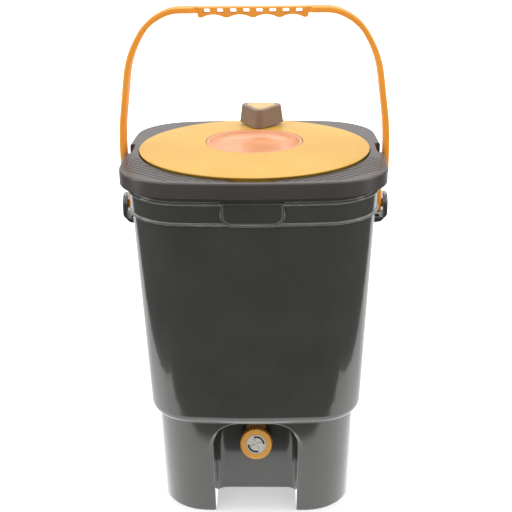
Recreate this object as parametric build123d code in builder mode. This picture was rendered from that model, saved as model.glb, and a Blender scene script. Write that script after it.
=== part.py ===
"""Kitchen compost bin with a drain tap, a turning round hatch and a carrying bail.

The frame has its origin on the floor under the middle of the bin, +Z up and the tap facing -Y.
All lengths are millimetres.
"""
from build123d import *
from math import cos, degrees, radians, sin, sqrt, tan
import os

os.makedirs("parts", exist_ok=True)

# Shared values
overrun = 2.0
fit_gap = 0.3
slip_gap = 0.6
running_gap = 0.08
half_turn = 180
quarter_turn = 90

# Hatch: the round domed cover that the rest of the top is sized from
hatch_radius = 134.4
hatch_rim_rise = 2.8
hatch_rim_height = 1.4
hatch_rim_round = 0.6
hatch_crown_rise = 7.4
hatch_wall = 2.6
hatch_skirt_inset = 4.4
hatch_skirt_wall = 2.4
hatch_rest_turn = -4.3
dish_radius = 57.0
dish_gap = 0.7
dish_depth = 8.2
dish_wall = 2.4
dish_slope = 10.0
dish_rim_wall = 2.0
dish_rim_width = 3.0
dish_rim_round = 0.8
dish_floor_round = 20.0
dish_seat_wall = 2.2
dish_seat_lip = 14.0

# Lid frame
seat_wall = 2.4
seat_depth = 9.5
seat_floor = 2.5
seat_ledge = 12.6
lid_side_band = 12.2
lid_front_band = 8.6
lid_side_bow = 4.8
lid_front_bow = 14.0
lid_corner = 70.0
lid_skirt_height = 17.0
lid_wall = 2.8
lid_edge_round = 2.6
carrier_inner_reach = 6.5
carrier_outer_reach = 1.6
carrier_web = 2.4
lip_depth = 8.0
notch_inset = 4.8
notch_half_length = 21.5
notch_corner = 4.0
slot_length = 48.0
slot_width = 4.4
slot_gap = 0.4
slot_depth = 5.6
groove_pitch = 6.4
groove_width = 1.8
groove_depth = 0.8
groove_count = 9
groove_angle = 50.0
groove_seat_overlap = 26.4
groove_edge_margin = 6.0
groove_seat_margin = 3.6
groove_back_limit = 40.0

# Seals
lid_gasket_stand = 0.6
lid_gasket_height = 2.5
hatch_gasket_inset = 3.0
hatch_gasket_width = 7.2
hatch_gasket_height = 2.0

# Container: tapers outwards from the step up to the rim
container_height = 410.0
container_wall = 3.0
rim_side_inset = 10.8
rim_front_inset = 10.2
container_side_taper = 12.4
container_front_taper = 12.2
container_low_corner = 54.0
container_top_corner = 64.0
container_side_bow = 4.0
container_front_bow = 8.0
container_bottom_round = 13.0
shelf_thickness = 3.0
shelf_lip = 6.0

# Collar: two thin ridges with a slightly proud band between them
lower_ridge_drop = 35.6
upper_ridge_drop = 12.2
ridge_thickness = 2.4
ridge_stand = 3.2
ridge_round = 1.0
collar_stand = 1.2

# Front pull: the upper ridge dips here in a U
pull_half_width = 33.8
pull_corner = 12.0
pull_line = 2.4

# Foot: the stepped-in lower part, open underneath, with the liquid sump inside
foot_height = 122.0
foot_side_step = 8.8
foot_front_step = 7.6
foot_side_taper = 2.0
foot_front_taper = 1.4
foot_corner = 57.0
foot_bow = 2.0
sump_floor_height = 48.0
sump_floor_thickness = 3.0

# Niche for the tap in the front of the foot
niche_floor_width = 97.4
niche_ceiling_width = 102.2
niche_arch_corner = 32.0
niche_mouth_width = 7.0
niche_mouth_depth = 3.0
niche_depth = 48.6
niche_lean = 10.0
niche_back_corner = 14.0
niche_wall = 3.0

# Bail
pivot_drop = 53.0
stud_radius = 5.0
stud_chamfer = 0.8
bail_rise = 229.5
bail_thickness = 6.4
bail_depth = 24.0
bail_edge_round = 2.4
bail_hub_gap = 1.2
bail_lid_gap = 0.9
bail_jog_low = 27.0
bail_jog_high = 40.0
bail_jog_radius = 12.0
bail_lean_rise = 89.0
bail_lean_radius = 300.0
bail_shoulder_inset = 12.1
bail_shoulder_drop = 51.3
bail_shoulder_radius = 110.0
bail_bend_inset = 33.7
bail_bend_drop = 14.3
bail_bend_radius = 56.0
bail_top_inset = 60.7
bail_top_radius = 46.0

# Ears that carry the bail
ear_plate_thickness = 6.0
ear_plate_gap = 2.0
ear_half_depth = 14.0
ear_skirt_drop = 21.0
ear_slant_low_drop = 19.5
ear_slant_high_drop = 11.0
ear_slant_inset = 8.0
ear_edge_round = 3.4
ear_web_gap = 1.4

# Grip in the middle of the bail: windows above, finger scallops below
grip_depth = 15.0
grip_half_length = 66.0
grip_waist_corner = 4.0
grip_height = 8.2
tooth_count = 5
tooth_pitch = 29.4
tooth_drop = 3.2
tooth_width = 4.6
tooth_round = 2.4
grip_edge_round = 1.4
window_count = 8
window_pitch = 14.7
window_width = 7.2
window_height = 4.8
window_rail = 1.5
window_round = 1.2

# Knob
knob_inset = 45.4
knob_lobe_offset = 20.0
knob_lobe_radius = 10.0
knob_first_lobe = 30.0
knob_lobe_turn = 120.0
knob_lobe_count = 3
knob_height = 22.2
knob_top_share = 0.89
knob_wall = 2.6
knob_edge_round = 1.2
knob_lift = 2.4
knob_pad_radius = 15.0
knob_boss_radius = 5.6
inlay_share = 0.66
inlay_thickness = 1.5
inlay_stand = 0.3
screw_radius = 2.4
screw_reach = 14.0
screw_head_radius = 4.6
screw_head_height = 3.2
screw_head_round = 1.0
screw_slot_width = 1.2
screw_slot_depth = 1.2
washer_radius = 6.8
washer_thickness = 1.2
screw_seat_radius = 8.6
screw_seat_thickness = 6.4

# Drain grate
grate_gap = 1.0
grate_corner = 53.0
grate_thickness = 2.6
grate_edge_round = 0.8
grate_slot_length = 30.0
grate_slot_width = 5.0
grate_slot_pitch_x = 40.0
grate_slot_pitch_y = 14.0
grate_slot_columns = 5
grate_slot_rows = 13
grate_border = 9.0
grate_finger_radius = 11.0
grate_finger_offset = 40.0
grate_finger_wall = 4.0

# Tap
tap_rise = 18.0
tap_shank_radius = 9.0
tap_shank_length = 14.0
tap_flange_radius = 16.5
tap_flange_thickness = 2.6
tap_washer_radius = 15.0
tap_washer_thickness = 2.2
housing_half_width = 12.4
housing_depth = 11.2
housing_rise = 23.4
housing_drop = 13.0
housing_corner = 4.0
housing_edge_round = 1.0
tap_bore_radius = 6.0
spout_radius = 5.0
spout_bore = 3.2
spout_length = 18.0
nut_across_flats = 27.0
nut_thickness = 6.5
nut_side_count = 6
spindle_port_radius = 2.8
o_ring_thickness = 1.6
o_ring_room = 0.4
o_ring_offset = 1.4
ring_radius = 20.2
ring_depth = 8.0
ring_web = 1.8
ring_rim_wall = 3.2
ring_stem_radius = 4.0
ring_stem_flat = 1.2
ring_hub_wall = 2.6
ring_face_depth = 2.2
ring_face_wall = 7.8
ring_flute_count = 30
ring_flute_radius = 1.2
ring_edge_round = 2.6
insert_thickness = 1.6
insert_rim = 1.2
insert_rim_stand = 0.5
cross_width = 3.0
cross_stand = 1.4
cross_taper = 35.0
cross_angle = 20.0
cross_reach = 7.6
arrow_radius = 9.4
arrow_width = 1.9
arrow_thickness = 0.5
arrow_sweep = 92.0
arrow_start = 14.0
arrow_head_width = 2.7
arrow_head_length = 2.6

# Plans that follow from the hatch outwards and downwards
seat_radius = hatch_radius + slip_gap
seat_outer_radius = seat_radius + seat_wall
hatch_opening_radius = seat_radius - seat_ledge
lid_half_width = seat_outer_radius + lid_side_band
lid_half_depth = seat_outer_radius + lid_front_band
notch_floor_plane = seat_outer_radius + notch_inset
container_top_half_width = lid_half_width - rim_side_inset
container_top_half_depth = lid_half_depth - rim_front_inset
container_low_half_width = container_top_half_width - container_side_taper
container_low_half_depth = container_top_half_depth - container_front_taper
foot_top_half_width = container_low_half_width - foot_side_step
foot_top_half_depth = container_low_half_depth - foot_front_step
foot_floor_half_width = foot_top_half_width - foot_side_taper
foot_floor_half_depth = foot_top_half_depth - foot_front_taper
niche_wall_plane = niche_depth - foot_floor_half_depth
bail_hub_reach = container_top_half_width + ridge_stand + bail_hub_gap + bail_thickness / 2
bail_arm_reach = lid_half_width + bail_lid_gap + bail_thickness / 2
ear_plate_inner = bail_hub_reach + bail_thickness / 2 + ear_plate_gap
ear_plate_outer = ear_plate_inner + ear_plate_thickness
knob_offset = hatch_radius - knob_inset
grate_half_width = container_low_half_width - container_bottom_round - grate_gap
grate_half_depth = container_low_half_depth - container_bottom_round - grate_gap

# Heights that follow from the container upwards
ledge_underside = container_height + lid_gasket_height
seat_plane = ledge_underside + seat_floor
gasket_plane = seat_plane + hatch_gasket_height
lid_top_height = seat_plane + seat_depth
skirt_plane = lid_top_height - lid_skirt_height
hatch_rim_plane = lid_top_height + hatch_rim_rise
lower_ridge_height = container_height - lower_ridge_drop
upper_ridge_height = container_height - upper_ridge_drop
pivot_height = container_height - pivot_drop
bail_top_height = pivot_height + bail_rise
ear_web_top = pivot_height - bail_depth / 2 - ear_web_gap
sump_underside = sump_floor_height - sump_floor_thickness
shelf_plane = foot_height + shelf_thickness
tap_height = sump_floor_height + tap_rise

# Hatch surface and the knob's place on it
hatch_dome_radius = (hatch_radius ** 2 + hatch_crown_rise ** 2) / (2 * hatch_crown_rise)


def dome_height(radius):
    """Height of the hatch's domed surface at a distance from its middle."""
    centre = hatch_rim_plane + hatch_crown_rise - hatch_dome_radius
    return centre + sqrt(hatch_dome_radius ** 2 - radius ** 2)


dish_outer_radius = dish_radius - dish_gap
dish_top = dome_height(dish_radius)
dish_floor_plane = dish_top - dish_depth
dish_seat_plane = dish_floor_plane - dish_wall
knob_plane = dome_height(knob_offset) + knob_lift
knob_top_plane = knob_plane + knob_height
screw_seat_plane = knob_plane - screw_seat_thickness
screw_head_plane = screw_seat_plane - washer_thickness
knob_place = Plane(
    origin=(-knob_offset * sin(radians(hatch_rest_turn)), knob_offset * cos(radians(hatch_rest_turn)), 0),
    x_dir=(cos(radians(hatch_rest_turn)), sin(radians(hatch_rest_turn)), 0),
    z_dir=(0, 0, 1))

# Tap: its axis stands square on the leaning niche wall, and its places are counted from that wall
lean_sine = sin(radians(niche_lean))
lean_cosine = cos(radians(niche_lean))
lean_slope = tan(radians(niche_lean))
tap_axis = Plane(origin=(0, niche_wall_plane + tap_height * lean_slope, tap_height),
                 x_dir=(1, 0, 0), z_dir=(0, -lean_cosine, lean_sine))
tap_flange_reach = tap_washer_thickness
housing_back_reach = tap_flange_reach + tap_flange_thickness
housing_front_reach = housing_back_reach + housing_depth
tap_port_reach = housing_back_reach + housing_depth / 2
ring_back_reach = housing_front_reach + fit_gap
ring_front_reach = ring_back_reach + ring_depth
insert_reach = ring_front_reach - ring_face_depth
tap_along = Axis(tap_axis.origin, tap_axis.z_dir)
spout_place = Plane(origin=tap_axis.from_local_coords((0, 0, tap_port_reach)),
                    x_dir=(1, 0, 0), z_dir=(0, -lean_sine, -lean_cosine))


def container_half(height, low, top):
    """Half size of the container's outer wall at a height, between its low and top sizes."""
    share = (height - foot_height) / (container_height - foot_height)
    return low + (top - low) * share


def bowed_square(sketch, half_width, half_depth, corner, side_bow, front_bow):
    """Draw a square with bowed sides and round corners in the open sketch."""
    corner_x = half_width - side_bow
    corner_y = half_depth - front_bow
    with BuildLine() as outline:
        ThreePointArc((corner_x, -corner_y), (half_width, 0), (corner_x, corner_y))
        ThreePointArc((corner_x, corner_y), (0, half_depth), (-corner_x, corner_y))
        ThreePointArc((-corner_x, corner_y), (-half_width, 0), (-corner_x, -corner_y))
        ThreePointArc((-corner_x, -corner_y), (0, -half_depth), (corner_x, -corner_y))
    make_face(outline.edges())
    fillet(sketch.vertices(), corner)


def container_outline(sketch, height, stand):
    """Draw the container's plan at a height, moved outwards by a stand."""
    half_width = container_half(height, container_low_half_width, container_top_half_width)
    half_depth = container_half(height, container_low_half_depth, container_top_half_depth)
    corner = container_half(height, container_low_corner, container_top_corner)
    bowed_square(sketch, half_width + stand, half_depth + stand, corner + stand,
                 container_side_bow, container_front_bow)


def foot_outline(sketch, height, stand):
    """Draw the foot's plan at a height, moved outwards by a stand."""
    share = height / foot_height
    half_width = foot_floor_half_width + (foot_top_half_width - foot_floor_half_width) * share
    half_depth = foot_floor_half_depth + (foot_top_half_depth - foot_floor_half_depth) * share
    bowed_square(sketch, half_width + stand, half_depth + stand, foot_corner + stand,
                 foot_bow, foot_bow)


def rim_outline(sketch, stand):
    """Draw the plan of the bucket's rim, moved outwards by a stand."""
    container_outline(sketch, container_height, stand)


def lid_outline(sketch, stand):
    """Draw the lid's plan, moved outwards by a stand."""
    bowed_square(sketch, lid_half_width + stand, lid_half_depth + stand, lid_corner + stand,
                 lid_side_bow, lid_front_bow)


# Niche: a void with an arched ceiling and a leaning back, and the same void grown by its wall
def niche_outline(sketch, grow, ceiling):
    """Draw the niche seen from the front, grown sideways by grow, up to a ceiling."""
    with BuildLine() as outline:
        Polyline((-niche_floor_width / 2 - grow, -overrun),
                 (niche_floor_width / 2 + grow, -overrun),
                 (niche_ceiling_width / 2 + grow, ceiling),
                 (-niche_ceiling_width / 2 - grow, ceiling),
                 close=True)
    make_face(outline.edges())
    fillet(sketch.vertices().group_by(Axis.Y)[-1], niche_arch_corner + grow)


def niche_body(grow, ceiling):
    """Cutter for the niche, grown sideways and backwards by grow, up to a ceiling."""
    floor_plane = niche_wall_plane + grow / lean_cosine - overrun * lean_slope
    deepest_plane = floor_plane + (ceiling + 2 * overrun) * lean_slope
    with BuildPart() as body:
        with BuildSketch(Plane.XZ.offset(-deepest_plane)) as front:
            niche_outline(front, grow, ceiling)
        extrude(amount=foot_top_half_depth + deepest_plane + container_bottom_round)
        with BuildSketch(Plane.XY.offset(-overrun)) as plan:
            with Locations((0, floor_plane)):
                Rectangle(niche_ceiling_width + 2 * grow, 2 * foot_top_half_depth,
                          align=(Align.CENTER, Align.MAX))
            fillet(plan.vertices().group_by(Axis.Y)[-1], niche_back_corner + grow)
        extrude(amount=(ceiling + 2 * overrun) / lean_cosine, dir=(0, lean_sine, lean_cosine),
                mode=Mode.INTERSECT)
    return body.part


niche_void = niche_body(0, foot_height)
niche_block = niche_body(niche_wall, foot_height + shelf_thickness)
with BuildPart() as niche_mouth:
    with BuildSketch(Plane.XZ.offset(foot_top_half_depth - niche_mouth_depth)) as inner:
        niche_outline(inner, 0, foot_height)
    with BuildSketch(Plane.XZ.offset(foot_top_half_depth + overrun)) as outer:
        niche_outline(outer, niche_mouth_width * (1 + overrun / niche_mouth_depth), foot_height)
    loft(ruled=True)


# Bucket: voids
with BuildPart() as container_void:
    with BuildSketch(Plane.XY.offset(shelf_plane)) as low:
        container_outline(low, shelf_plane, -container_wall)
    with BuildSketch(Plane.XY.offset(container_height + overrun)) as high:
        container_outline(high, container_height + overrun, -container_wall)
    loft(ruled=True)
    fillet(container_void.faces().sort_by(Axis.Z)[0].edges(), container_bottom_round - container_wall)

with BuildPart() as sump_void:
    with BuildSketch(Plane.XY.offset(sump_floor_height)) as low:
        foot_outline(low, sump_floor_height, -container_wall)
    with BuildSketch(Plane.XY.offset(foot_height)) as high:
        foot_outline(high, foot_height, -container_wall)
    loft(ruled=True)
    with BuildSketch(Plane.XY.offset(foot_height - overrun)) as hole:
        foot_outline(hole, foot_height, -container_wall - shelf_lip)
    extrude(amount=shelf_thickness + 2 * overrun)
    add(niche_block, mode=Mode.SUBTRACT)

with BuildPart() as foot_void:
    with BuildSketch(Plane.XY.offset(-overrun)) as low:
        foot_outline(low, -overrun, -container_wall)
    with BuildSketch(Plane.XY.offset(sump_underside)) as high:
        foot_outline(high, sump_underside, -container_wall)
    loft(ruled=True)
    add(niche_block, mode=Mode.SUBTRACT)

# Bucket: the U line of the front pull, cut from a ridge as tall as the collar
pull_low = lower_ridge_height
pull_high = upper_ridge_height + ridge_thickness
with BuildPart() as pull_rib:
    with BuildSketch(Plane.XY.offset(pull_low)) as band:
        container_outline(band, upper_ridge_height, ridge_stand)
    extrude(amount=pull_high - pull_low)
    with BuildSketch(Plane.XZ) as outline:
        with Locations((0, pull_high)):
            Rectangle(2 * pull_half_width, pull_high - pull_low, align=(Align.CENTER, Align.MAX))
        fillet(outline.vertices().group_by(Axis.Z)[0], pull_corner)
        with Locations((0, pull_high)):
            Rectangle(2 * (pull_half_width - pull_line), pull_high - pull_low - pull_line,
                      align=(Align.CENTER, Align.MAX), mode=Mode.SUBTRACT)
    extrude(amount=container_top_half_depth * 2, mode=Mode.INTERSECT)

with BuildPart() as pull_gap:
    with Locations((0, -container_top_half_depth, upper_ridge_height)):
        Box(2 * pull_half_width, 2 * (container_front_bow + ridge_stand), 2 * ridge_thickness,
            align=(Align.CENTER, Align.CENTER, Align.CENTER))

with BuildPart() as upper_ridge:
    with BuildSketch(Plane.XY.offset(upper_ridge_height)) as ring:
        container_outline(ring, upper_ridge_height, ridge_stand)
    extrude(amount=ridge_thickness)
    fillet(upper_ridge.edges().filter_by(Axis.Z, reverse=True), ridge_round)
    add(pull_gap.part, mode=Mode.SUBTRACT)

with BuildPart() as lower_ridge:
    with BuildSketch(Plane.XY.offset(lower_ridge_height)) as ring:
        container_outline(ring, lower_ridge_height, ridge_stand)
    extrude(amount=ridge_thickness)
    fillet(lower_ridge.edges().filter_by(Axis.Z, reverse=True), ridge_round)

# Bucket: one ear, a plate outside the bail's hub and a slanted web under it
with BuildPart() as ear:
    with BuildSketch(Plane.XZ.offset(-ear_half_depth)) as side:
        with BuildLine():
            Polyline((container_low_half_width, pivot_height - ear_skirt_drop),
                     (container_top_half_width, pivot_height - ear_skirt_drop),
                     (ear_plate_outer - ear_slant_inset, pivot_height - ear_slant_low_drop),
                     (ear_plate_outer, pivot_height - ear_slant_high_drop),
                     (ear_plate_outer, pivot_height + ear_half_depth),
                     (container_low_half_width, pivot_height + ear_half_depth),
                     close=True)
        make_face()
    extrude(amount=2 * ear_half_depth)
    with BuildSketch(Plane.YZ) as tongue:
        with Locations((0, pivot_height)):
            Circle(ear_half_depth)
            Rectangle(2 * ear_half_depth, ear_skirt_drop + overrun,
                      align=(Align.CENTER, Align.MAX))
    extrude(amount=ear_plate_outer + overrun, mode=Mode.INTERSECT)
    fillet(ear.faces().sort_by(Axis.X)[-1].edges(), ear_edge_round)
    with Locations((container_top_half_width, 0, ear_web_top)):
        Box(ear_plate_inner - container_top_half_width, 2 * ear_half_depth + overrun,
            pivot_height, align=(Align.MIN, Align.CENTER, Align.MIN), mode=Mode.SUBTRACT)
    with Locations(Plane.YZ.offset(ear_plate_inner)):
        with Locations((0, pivot_height, ear_plate_thickness / 2)):
            Cylinder(stud_radius + running_gap, ear_plate_thickness + overrun, mode=Mode.SUBTRACT)

# Bucket: one moulding
with BuildPart() as bucket:
    with BuildSketch(Plane.XY.offset(foot_height)) as low:
        container_outline(low, foot_height, 0)
    with BuildSketch(Plane.XY.offset(container_height)) as high:
        container_outline(high, container_height, 0)
    loft(ruled=True)
    fillet(bucket.faces().sort_by(Axis.Z)[0].edges(), container_bottom_round)
    with BuildSketch(Plane.XY) as low:
        foot_outline(low, 0, 0)
    with BuildSketch(Plane.XY.offset(foot_height + shelf_thickness)) as high:
        foot_outline(high, foot_height + shelf_thickness, 0)
    loft(ruled=True)
    with BuildSketch(Plane.XY.offset(lower_ridge_height)) as ring:
        container_outline(ring, lower_ridge_height, collar_stand)
    with BuildSketch(Plane.XY.offset(upper_ridge_height)) as ring:
        container_outline(ring, upper_ridge_height, collar_stand)
    loft(ruled=True)
    add(lower_ridge.part)
    add(upper_ridge.part)
    add(pull_rib.part)
    add(ear.part)
    add(mirror(ear.part, about=Plane.YZ, mode=Mode.PRIVATE))
    add(container_void.part, mode=Mode.SUBTRACT)
    add(sump_void.part, mode=Mode.SUBTRACT)
    add(foot_void.part, mode=Mode.SUBTRACT)
    add(niche_void, mode=Mode.SUBTRACT)
    add(niche_mouth.part, mode=Mode.SUBTRACT)
    with Locations(tap_axis):
        Cylinder(tap_shank_radius + fit_gap, 2 * niche_wall + overrun, mode=Mode.SUBTRACT)
bucket.part.label = "bucket"
export_step(bucket.part, "parts/bucket.step")


# Drain grate: a slotted plate on the shelf, with ribs under it and two finger holes
with BuildPart() as grate_window:
    with BuildSketch(Plane.XY.offset(shelf_plane)) as inner:
        bowed_square(inner, grate_half_width - grate_border, grate_half_depth - grate_border,
                     grate_corner - grate_border, foot_bow, foot_bow)
    extrude(amount=grate_thickness)
    with BuildSketch(Plane.XY.offset(shelf_plane)) as slots:
        with GridLocations(grate_slot_pitch_x, grate_slot_pitch_y, grate_slot_columns, grate_slot_rows):
            SlotOverall(grate_slot_length, grate_slot_width)
        with GridLocations(2 * grate_finger_offset, 0, 2, 1):
            Circle(grate_finger_radius + grate_finger_wall, mode=Mode.SUBTRACT)
            Circle(grate_finger_radius)
    extrude(amount=grate_thickness, mode=Mode.INTERSECT)

with BuildPart() as drain_grate:
    with BuildSketch(Plane.XY.offset(shelf_plane)) as plate:
        bowed_square(plate, grate_half_width, grate_half_depth, grate_corner, foot_bow, foot_bow)
    extrude(amount=grate_thickness)
    add(grate_window.part, mode=Mode.SUBTRACT)
    fillet(drain_grate.faces().sort_by(Axis.Z)[-1].outer_wire().edges(), grate_edge_round)
drain_grate.part.label = "drain_grate"
export_step(drain_grate.part, "parts/drain_grate.step")


# Lid frame: outlines of its voids
def notch_cutter(grow):
    """One notch in the lid's side for the bail's arm, grown by a wall."""
    with BuildPart() as cutter:
        with BuildSketch(Plane.XY.offset(skirt_plane - overrun)) as plan:
            with Locations((notch_floor_plane - grow, 0)):
                Rectangle(2 * lid_wall + lid_half_width - notch_floor_plane,
                          2 * (notch_half_length + grow), align=(Align.MIN, Align.CENTER))
            fillet(plan.vertices().group_by(Axis.X)[0], notch_corner)
        extrude(amount=lid_skirt_height + 2 * overrun)
    return cutter.part


notch = notch_cutter(0)
notch_block = notch_cutter(seat_wall)

with BuildPart() as lid_hollow:
    with BuildSketch(Plane.XY.offset(skirt_plane - overrun)) as inner:
        lid_outline(inner, -lid_wall)
    extrude(amount=lid_skirt_height - lid_wall + overrun)
    for side in (0, 1):
        add(notch_block if side else mirror(notch_block, about=Plane.YZ, mode=Mode.PRIVATE),
            mode=Mode.SUBTRACT)

with BuildPart() as lid_carrier:
    with BuildSketch(Plane.XY.offset(ledge_underside)) as flange:
        rim_outline(flange, carrier_outer_reach)
    extrude(amount=seat_floor)
    with BuildSketch(Plane.XY.offset(seat_plane)) as web:
        rim_outline(web, carrier_outer_reach)
    extrude(amount=seat_depth - lid_wall)
    with BuildSketch(Plane.XY.offset(seat_plane)) as web:
        rim_outline(web, carrier_outer_reach - carrier_web)
    extrude(amount=seat_depth - lid_wall, mode=Mode.SUBTRACT)
    with BuildSketch(Plane.XY.offset(ledge_underside - lip_depth)) as lip:
        rim_outline(lip, -container_wall - slip_gap)
    extrude(amount=lip_depth)
    with BuildSketch(Plane.XY.offset(ledge_underside - lip_depth - overrun)) as mouth:
        rim_outline(mouth, -carrier_inner_reach)
    extrude(amount=lip_depth + seat_depth + seat_floor + overrun, mode=Mode.SUBTRACT)

# Lid frame: shallow grip grooves across the two front corners
with BuildPart() as grooves:
    with BuildSketch(Plane.XY.offset(lid_top_height - groove_depth)) as lines:
        for mirror_sign in (-1, 1):
            slant = mirror_sign * (quarter_turn - groove_angle)
            for index in range(groove_count):
                reach = seat_radius - groove_seat_overlap + index * groove_pitch
                place = Location((mirror_sign * reach * cos(radians(groove_angle)),
                                  -reach * sin(radians(groove_angle)), 0), (0, 0, slant))
                with Locations(place):
                    Rectangle(lid_half_width, groove_width)
    extrude(amount=groove_depth + overrun)
    with BuildSketch(Plane.XY.offset(lid_top_height - groove_depth)) as field:
        lid_outline(field, -groove_edge_margin)
        with Locations((0, -groove_back_limit)):
            Rectangle(2 * lid_half_width, 2 * lid_half_depth, align=(Align.CENTER, Align.MIN),
                      mode=Mode.SUBTRACT)
        Circle(seat_radius + groove_seat_margin, mode=Mode.SUBTRACT)
    extrude(amount=groove_depth + overrun, mode=Mode.INTERSECT)


with BuildPart() as lid_frame:
    with BuildSketch(Plane.XY.offset(skirt_plane)) as plan:
        lid_outline(plan, 0)
    extrude(amount=lid_skirt_height)
    fillet(lid_frame.faces().sort_by(Axis.Z)[-1].edges(), lid_edge_round)
    add(notch, mode=Mode.SUBTRACT)
    add(mirror(notch, about=Plane.YZ, mode=Mode.PRIVATE), mode=Mode.SUBTRACT)
    add(lid_hollow.part, mode=Mode.SUBTRACT)
    add(lid_carrier.part)
    with Locations((0, 0, ledge_underside)):
        Cylinder(seat_outer_radius, seat_depth + seat_floor,
                 align=(Align.CENTER, Align.CENTER, Align.MIN))
    with Locations((0, lid_wall / 2 - lid_half_depth, lid_top_height - lid_wall / 2)):
        Box(slot_length + 2 * seat_wall, lid_half_depth - seat_radius, slot_depth,
            align=(Align.CENTER, Align.MIN, Align.MAX))
    with Locations((0, 0, seat_plane)):
        Cylinder(seat_radius, seat_depth + overrun,
                 align=(Align.CENTER, Align.CENTER, Align.MIN), mode=Mode.SUBTRACT)
    with Locations((0, 0, ledge_underside - lip_depth - overrun)):
        Cylinder(hatch_opening_radius, seat_floor + lip_depth + 2 * overrun,
                 align=(Align.CENTER, Align.CENTER, Align.MIN), mode=Mode.SUBTRACT)
    with Locations((0, -seat_radius - slot_gap - slot_width, lid_top_height - slot_depth)):
        Box(slot_length, slot_width + lid_wall, slot_depth + overrun,
            align=(Align.CENTER, Align.MIN, Align.MIN), mode=Mode.SUBTRACT)
    add(grooves.part, mode=Mode.SUBTRACT)
lid_frame.part.label = "lid_frame"
export_step(lid_frame.part, "parts/lid_frame.step")

# Seals: one on the bucket's rim, one in the hatch's seat
with BuildPart() as lid_gasket:
    with BuildSketch(Plane.XY.offset(container_height)) as outer:
        rim_outline(outer, lid_gasket_stand)
    extrude(amount=lid_gasket_height)
    with BuildSketch(Plane.XY.offset(container_height - overrun)) as inner:
        rim_outline(inner, -container_wall)
    extrude(amount=lid_gasket_height + 2 * overrun, mode=Mode.SUBTRACT)
lid_gasket.part.label = "lid_gasket"
export_step(lid_gasket.part, "parts/lid_gasket.step")

with BuildPart() as hatch_gasket:
    with BuildSketch(Plane.XY.offset(seat_plane)):
        Circle(seat_radius - hatch_gasket_inset)
        Circle(seat_radius - hatch_gasket_inset - hatch_gasket_width, mode=Mode.SUBTRACT)
    extrude(amount=hatch_gasket_height)
hatch_gasket.part.label = "hatch_gasket"
export_step(hatch_gasket.part, "parts/hatch_gasket.step")

# Hatch disc: a domed shell with a sealing skirt, a seat for the dish and a pad for the knob
skirt_outer = hatch_radius - hatch_skirt_inset
skirt_inner = skirt_outer - hatch_skirt_wall
dome_middle = (dish_radius + hatch_radius) / 2
pad_low = (dome_height(knob_offset + knob_pad_radius)
           + dome_height(knob_offset - knob_pad_radius) - hatch_wall) / 2
with BuildPart() as hatch_disc:
    with BuildSketch(Plane.XZ) as half:
        with BuildLine():
            ThreePointArc((dish_radius, dome_height(dish_radius)),
                          (dome_middle, dome_height(dome_middle)),
                          (hatch_radius, hatch_rim_plane))
            Polyline((hatch_radius, hatch_rim_plane),
                     (hatch_radius, hatch_rim_plane - hatch_rim_height),
                     (skirt_outer, hatch_rim_plane - hatch_rim_height),
                     (skirt_outer, gasket_plane),
                     (skirt_inner, gasket_plane),
                     (skirt_inner, dome_height(skirt_inner) - hatch_wall))
            ThreePointArc((skirt_inner, dome_height(skirt_inner) - hatch_wall),
                          (dome_middle, dome_height(dome_middle) - hatch_wall),
                          (dish_radius + dish_seat_wall,
                           dome_height(dish_radius + dish_seat_wall) - hatch_wall))
            Polyline((dish_radius + dish_seat_wall,
                      dome_height(dish_radius + dish_seat_wall) - hatch_wall),
                     (dish_radius + dish_seat_wall, dish_seat_plane - dish_seat_wall),
                     (dish_radius - dish_seat_lip, dish_seat_plane - dish_seat_wall),
                     (dish_radius - dish_seat_lip, dish_seat_plane),
                     (dish_radius, dish_seat_plane),
                     (dish_radius, dome_height(dish_radius)))
        make_face()
        fillet(half.vertices().group_by(Axis.X)[-1], hatch_rim_round)
    revolve(axis=Axis.Z)
    with BuildSketch(knob_place.offset(pad_low)):
        Circle(knob_pad_radius)
    extrude(amount=knob_plane - pad_low)
    with BuildSketch(knob_place.offset(screw_seat_plane)):
        Circle(screw_seat_radius)
    extrude(amount=screw_seat_thickness)
    with BuildSketch(knob_place.offset(screw_seat_plane - overrun)):
        Circle(screw_radius + fit_gap)
    extrude(amount=screw_seat_thickness + 2 * overrun, mode=Mode.SUBTRACT)
hatch_disc.part.label = "hatch_disc"
export_step(hatch_disc.part, "parts/hatch_disc.step")

with BuildPart() as centre_dish:
    with BuildSketch(Plane.XZ) as half:
        with BuildLine():
            Polyline((0, dish_seat_plane),
                     (dish_outer_radius - dish_slope, dish_seat_plane),
                     (dish_outer_radius - dish_rim_wall, dish_top - dish_wall),
                     (dish_outer_radius, dish_top - dish_wall),
                     (dish_outer_radius, dish_top),
                     (dish_outer_radius - dish_rim_width, dish_top),
                     (dish_outer_radius - dish_slope - dish_rim_width + dish_rim_wall,
                      dish_floor_plane),
                     (0, dish_floor_plane),
                     close=True)
        make_face()
        fillet(half.vertices().group_by(Axis.Y)[-1], dish_rim_round)
        fillet(half.vertices().filter_by_position(Axis.Y, dish_floor_plane, dish_floor_plane)
               .sort_by(Axis.X)[-1], dish_floor_round)
    revolve(axis=Axis.Z)
centre_dish.part.label = "centre_dish"
export_step(centre_dish.part, "parts/centre_dish.step")


# Knob: three round lobes with the pointed side to the front
def knob_outline(sketch, share, inset):
    """Draw the knob's plan at a share of its base size, moved inwards by an inset."""
    reach = share * knob_lobe_offset
    for index in range(knob_lobe_count):
        turn = knob_first_lobe + index * knob_lobe_turn
        with Locations((reach * cos(radians(turn)), reach * sin(radians(turn)))):
            Circle(share * knob_lobe_radius - inset)
    make_hull(sketch.edges())


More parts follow.
